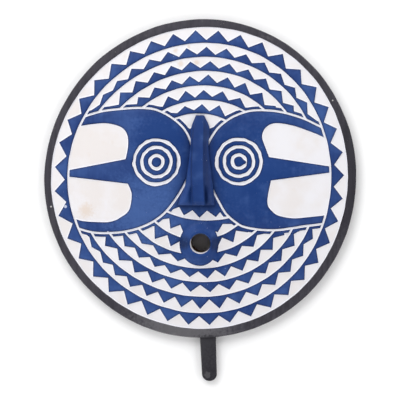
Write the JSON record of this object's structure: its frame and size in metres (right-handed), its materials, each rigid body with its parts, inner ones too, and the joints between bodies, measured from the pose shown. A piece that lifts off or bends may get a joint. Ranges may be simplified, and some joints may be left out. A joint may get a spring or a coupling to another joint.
{
  "type": "wooden wall mask",
  "caption": "Round domed wooden mask with chip-carved rings of teeth, ringed eyes, a ridged nose, a round pierced mouth, a hollow back and a short handle.",
  "frame": {"origin": "middle of the underside, on the flat back that the mask lies on", "axes": "+X to the right of the face as seen, +Y towards the top of the mask, +Z out of the face"},
  "size_m": [0.5004, 0.5814, 0.0652],
  "materials": {
    "painted_wood": "hand-painted blue over white cuts, with a black rim, handle and back, dull and slightly worn"
  },
  "bodies": {
    "root": {"mask": "painted_wood"}
  },
  "joints": []
}
